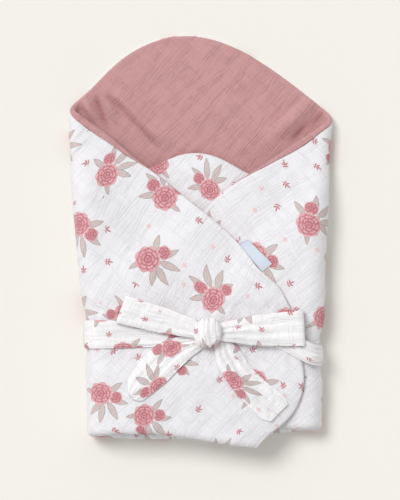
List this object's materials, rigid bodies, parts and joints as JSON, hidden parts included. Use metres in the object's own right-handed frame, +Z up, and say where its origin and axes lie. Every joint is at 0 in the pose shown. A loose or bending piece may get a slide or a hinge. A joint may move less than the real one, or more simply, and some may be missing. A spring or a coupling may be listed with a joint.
{
  "type": "folded and tied padded swaddle wrap",
  "caption": "Padded muslin baby wrap folded into a pocket and tied round the waist with a bow; printed outside, dusty pink lining",
  "frame": {"origin": "middle of the underside on which the wrap lies", "axes": "+Y towards the head end of the wrap, +X to the right seen from above with the head end up, +Z up out of the front"},
  "size_m": [0.3506, 0.558, 0.085],
  "materials": {
    "printed_muslin": "matte crinkled printed muslin",
    "pink_muslin": "matte crinkled plain muslin",
    "tie_muslin": "matte crinkled printed muslin"
  },
  "bodies": {
    "root": {"outer_panel": "printed_muslin", "lining_panel": "pink_muslin", "tie": "tie_muslin"}
  },
  "joints": []
}
